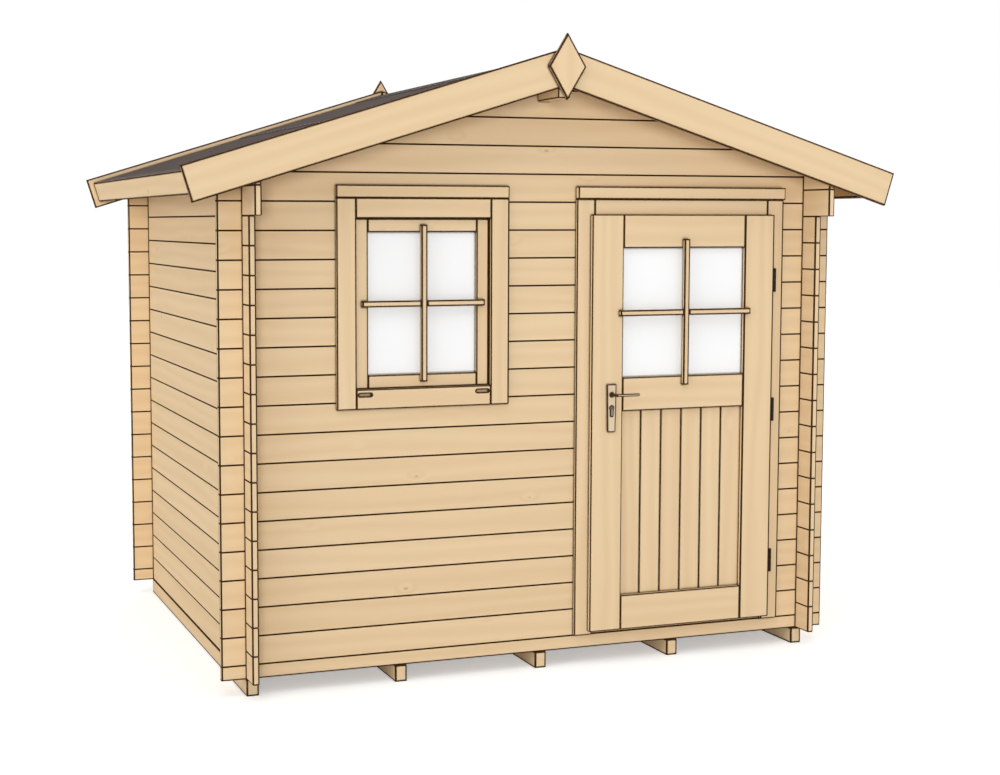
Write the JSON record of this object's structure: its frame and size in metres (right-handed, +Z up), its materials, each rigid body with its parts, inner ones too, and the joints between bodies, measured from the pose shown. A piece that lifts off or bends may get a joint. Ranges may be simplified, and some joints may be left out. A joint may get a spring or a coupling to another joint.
{
  "type": "log-built garden house",
  "caption": "Small log-built garden house on ground bearers, with a felted gable roof, a paned window and a half-glazed door that swings outwards.",
  "frame": {"origin": "on the ground, under the middle of the house's outline", "axes": "+X to the right along the front, +Y from the front to the back, +Z up; the door faces -Y"},
  "size_m": [3.0958, 2.372, 2.6134],
  "materials": {
    "log_pine": "planed pine logs, untreated, grain along the log, small knots",
    "planed_pine": "planed pine trim and joinery, untreated, fine straight grain",
    "bearer_pine": "sawn pine bearers",
    "board_pine": "tongued pine boards with small V joints",
    "roofing_felt": "mineral-faced bitumen roofing felt, matt",
    "window_pane": "white opal glass, smooth, lets light through but no view",
    "black_steel": "black powder-coated steel, satin",
    "champagne_metal": "champagne anodised aluminium, satin",
    "cylinder_steel": "satin nickel-plated steel, worn round the keyway"
  },
  "bodies": {
    "house": {"foundation_bearers": "bearer_pine", "floor": "board_pine", "front_wall_base": "log_pine", "front_wall_left": "log_pine", "front_wall_right": "log_pine", "front_wall_top": "log_pine", "front_gable": "log_pine", "back_wall": "log_pine", "back_gable": "log_pine", "left_wall": "log_pine", "right_wall": "log_pine", "ridge_purlin": "planed_pine", "left_roof_deck": "board_pine", "right_roof_deck": "board_pine", "left_roof_felt": "roofing_felt", "right_roof_felt": "roofing_felt", "left_fascia": "planed_pine", "right_fascia": "planed_pine", "front_bargeboards": "planed_pine", "rear_bargeboards": "planed_pine", "front_finial": "planed_pine", "rear_finial": "planed_pine", "window_frame": "planed_pine", "window_casing": "planed_pine", "window_drip_board": "planed_pine", "window_inner_casing": "planed_pine", "window_sash": "planed_pine", "window_glass": "window_pane", "door_frame": "planed_pine", "door_casing": "planed_pine", "door_drip_board": "planed_pine", "door_inner_casing": "planed_pine", "door_threshold": "planed_pine", "frame_hinges": "black_steel"},
    "door": {"door_stiles": "planed_pine", "door_rails": "planed_pine", "door_panel": "planed_pine", "door_glass": "window_pane", "door_glass_beads": "planed_pine", "leaf_hinges": "black_steel", "lock_plates": "champagne_metal", "lock_cylinder": "cylinder_steel"},
    "lever": {"door_lever": "champagne_metal"}
  },
  "joints": [
    {"name": "door_swing", "type": "hinge", "parent": "house", "child": "door", "pos_m": [1.0805, -0.981, 1], "axis": [0, 0, 1], "range_deg": [0, 110]},
    {"name": "lever_turn", "type": "hinge", "parent": "door", "child": "lever", "pos_m": [0.297, -0.971, 1.15], "axis": [0, 1, 0], "range_deg": [0, 40], "stiffness_Nm_per_rad": 1, "springref_deg": -17.19}
  ]
}
